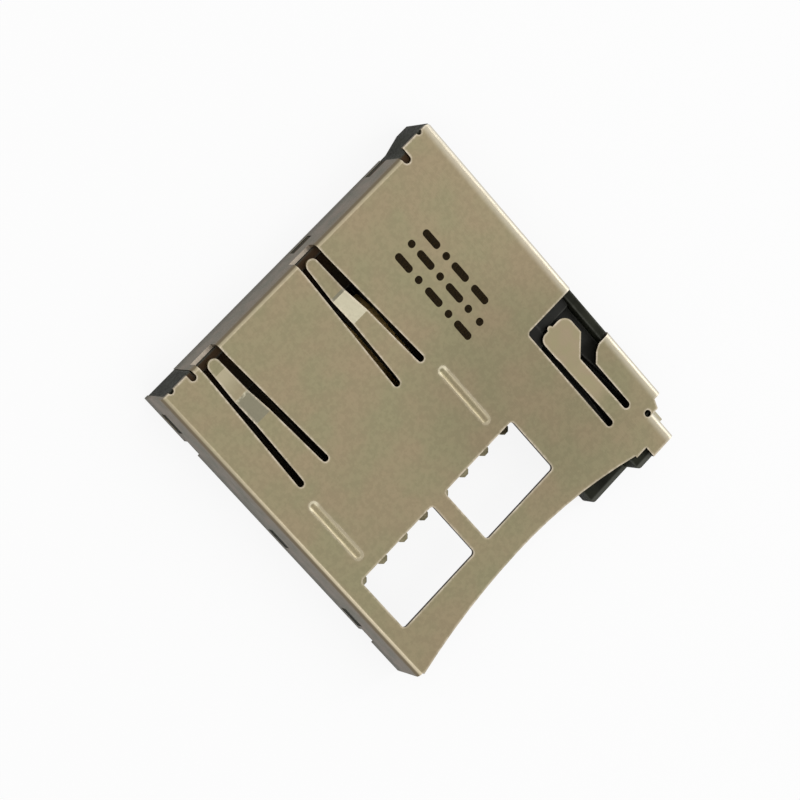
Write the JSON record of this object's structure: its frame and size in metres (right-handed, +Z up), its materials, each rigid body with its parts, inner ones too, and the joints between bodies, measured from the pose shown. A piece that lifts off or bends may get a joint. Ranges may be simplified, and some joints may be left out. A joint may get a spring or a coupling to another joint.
{
  "type": "memory card connector",
  "caption": "Low push-push memory card socket with a folded metal cover, moulded housing, spring contacts and a heart-cam ejector.",
  "frame": {"origin": "centre of the footprint at the circuit board's surface", "axes": "+Y the way the card is pushed in, +X to the right seen from above with the card mouth in front, +Z up from the board"},
  "size_m": [0.0138, 0.0148, 0.002],
  "materials": {
    "cover_metal": "stamped stainless sheet with a warm grey-gold tone, satin",
    "housing_plastic": "black moulded polymer, matte",
    "slider_plastic": "dark moulded polymer, slightly smoother than the housing",
    "spring_steel": "bright spring wire and leaf",
    "pin_steel": "polished wire",
    "contact_gold": "gold-plated copper alloy strip"
  },
  "bodies": {
    "socket": {"cover_shell": "cover_metal", "housing": "housing_plastic", "eject_spring": "spring_steel", "contact_1": "contact_gold", "contact_2": "contact_gold", "contact_3": "contact_gold", "contact_4": "contact_gold", "contact_5": "contact_gold", "contact_6": "contact_gold", "contact_7": "contact_gold", "contact_8": "contact_gold", "detect_fixed_contact": "contact_gold", "detect_spring_contact": "contact_gold"},
    "slider": {"eject_slider": "slider_plastic", "card_lock_spring": "spring_steel"},
    "pin": {"cam_pin": "pin_steel"}
  },
  "joints": [
    {"name": "slider_push", "type": "slide", "parent": "socket", "child": "slider", "axis": [0, 1, 0], "range_m": [0, 0.00405], "stiffness_N_per_m": 250, "springref_m": -0.001, "deforming": ["eject_spring"]},
    {"name": "pin_swing", "type": "hinge", "parent": "socket", "child": "pin", "pos_m": [0.00543, -0.00668, 0.001], "axis": [0, 0, 1], "range_deg": [0, 6]}
  ],
  "couplings": [
    {"joint": "pin_swing", "follows": "slider_push", "rad_per_m": 24.733}
  ]
}
